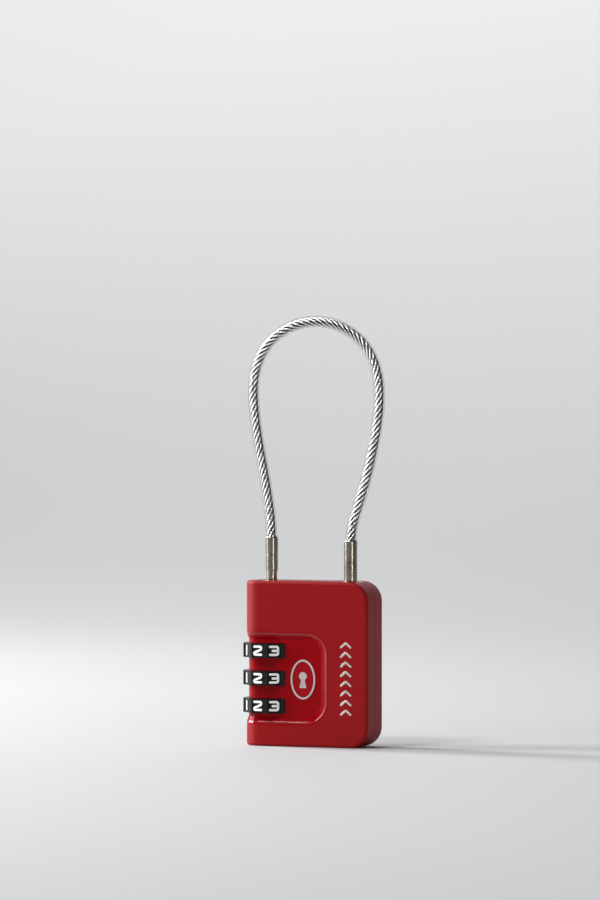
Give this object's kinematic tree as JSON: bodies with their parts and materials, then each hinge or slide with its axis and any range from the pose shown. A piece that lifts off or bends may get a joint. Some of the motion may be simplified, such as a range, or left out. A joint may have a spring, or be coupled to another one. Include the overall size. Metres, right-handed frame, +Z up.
{
  "type": "cable luggage lock",
  "caption": "Small padlock-style luggage lock with number dials on one side and a looped wire cable whose plug end pulls out of the top.",
  "frame": {"origin": "centre of the base, midway between the dials' left rim and the right side, on the seam between the shells", "axes": "+Z up along the cable's legs; the front with the badge faces -Y; +X towards the anchored cable end"},
  "size_m": [0.0344, 0.0132, 0.0989],
  "materials": {
    "red_paint": "fine-textured red powder paint over die-cast zinc",
    "dial_black": "satin black plated number ring, white filled digits",
    "brass": "turned brass",
    "nickel": "warm satin nickel plating",
    "spring_steel": "bright spring steel",
    "steel": "plain steel",
    "wire_rope": "bright stranded steel wire",
    "clear_vinyl": "clear vinyl coating",
    "key_metal": "nickel-plated cylinder",
    "badge_silver": "pale silver rim",
    "badge_red": "red translucent enamel"
  },
  "bodies": {
    "housing": {"front_shell": "red_paint", "rear_shell": "red_paint", "pin_guide_bush": "brass", "anchor_bush": "brass", "anchor_stem": "nickel", "anchor_ferrule": "nickel", "cable_core": "wire_rope", "cable_sheath": "clear_vinyl", "key_housing": "key_metal", "detent_leaf": "spring_steel", "hub_spring": "spring_steel", "spring_washer": "steel", "case_pins": "steel", "badge_plate": "badge_silver", "badge_fill": "badge_red"},
    "plug": {"plug_pin": "nickel", "plug_ferrule": "nickel"},
    "key": {"key_plug": "key_metal", "key_wafers": "brass", "lock_cam": "steel", "cam_clip": "spring_steel"},
    "bottom_dial": {"dial_bottom": "dial_black"},
    "bottom_hub": {"hub_bottom": "brass"},
    "middle_dial": {"dial_middle": "dial_black"},
    "middle_hub": {"hub_middle": "brass"},
    "top_dial": {"dial_top": "dial_black"},
    "top_hub": {"hub_top": "brass"}
  },
  "joints": [
    {"name": "bottom_dial_turn", "type": "hinge", "parent": "housing", "child": "bottom_dial", "pos_m": [-0.00945, 0, 0.0093], "axis": [0, 0, 1], "continuous": true},
    {"name": "bottom_hub_press", "type": "slide", "parent": "bottom_dial", "child": "bottom_hub", "axis": [0, 0, -1], "range_m": [0, 0.0014], "stiffness_N_per_m": 300, "deforming": ["hub_spring"]},
    {"name": "middle_dial_turn", "type": "hinge", "parent": "housing", "child": "middle_dial", "pos_m": [-0.00945, 0, 0.01565], "axis": [0, 0, 1], "continuous": true},
    {"name": "middle_hub_press", "type": "slide", "parent": "middle_dial", "child": "middle_hub", "axis": [0, 0, -1], "range_m": [0, 0.0014], "stiffness_N_per_m": 300},
    {"name": "top_dial_turn", "type": "hinge", "parent": "housing", "child": "top_dial", "pos_m": [-0.00945, 0, 0.022], "axis": [0, 0, 1], "continuous": true},
    {"name": "top_hub_press", "type": "slide", "parent": "top_dial", "child": "top_hub", "axis": [0, 0, -1], "range_m": [0, 0.0014], "stiffness_N_per_m": 300},
    {"name": "plug_pull", "type": "slide", "parent": "housing", "child": "plug", "axis": [0, 0, 1], "range_m": [0, 0.034], "deforming": ["cable_core", "cable_sheath"]},
    {"name": "key_turn", "type": "hinge", "parent": "housing", "child": "key", "pos_m": [0.0057, 0, 0.007], "axis": [0, 0, 1], "range_deg": [0, 90]}
  ],
  "couplings": [
    {"joint": "middle_hub_press", "follows": "bottom_hub_press", "ratio": 1},
    {"joint": "top_hub_press", "follows": "bottom_hub_press", "ratio": 1}
  ]
}
